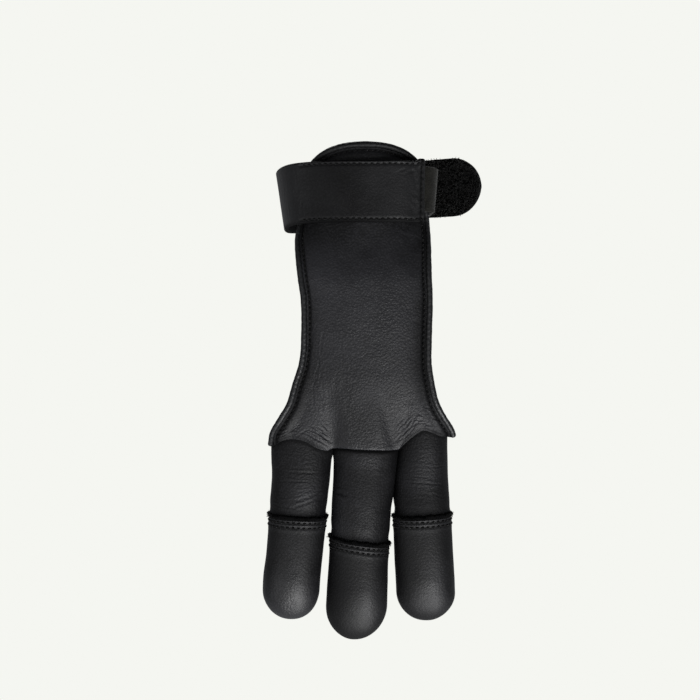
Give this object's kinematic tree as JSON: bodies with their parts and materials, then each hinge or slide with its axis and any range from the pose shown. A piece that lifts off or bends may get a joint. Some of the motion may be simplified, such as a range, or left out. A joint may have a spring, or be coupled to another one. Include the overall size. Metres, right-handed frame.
{
  "type": "archery glove",
  "caption": "Black leather finger glove for drawing a bow: palm panel, finger sleeves with stitched caps, and a wrist strap with a hook-and-loop tab.",
  "frame": {"origin": "middle of the hollow inside the wrist loop, where the wrist goes in", "axes": "+Z from the fingertips to the wrist, +X across the palm from the index finger to the ring finger, palm side facing -Y"},
  "size_m": [0.0944, 0.0586, 0.2065],
  "materials": {
    "panel_leather": "matte grained",
    "cap_leather": "satin pebbled",
    "edging_leather": "satin smooth",
    "strap_leather": "matte smooth",
    "elastic": "ribbed woven",
    "loop_pile": "fuzzy pile",
    "hook_tape": "rough hooks"
  },
  "bodies": {
    "root": {"palm_panel": "panel_leather", "panel_binding": "edging_leather", "index_sleeve": "panel_leather", "index_cap": "cap_leather", "middle_sleeve": "panel_leather", "middle_cap": "cap_leather", "ring_sleeve": "panel_leather", "ring_cap": "cap_leather", "wrist_strap": "strap_leather", "strap_elastic": "elastic", "loop_pad": "loop_pile", "hook_patch": "hook_tape"}
  },
  "joints": []
}
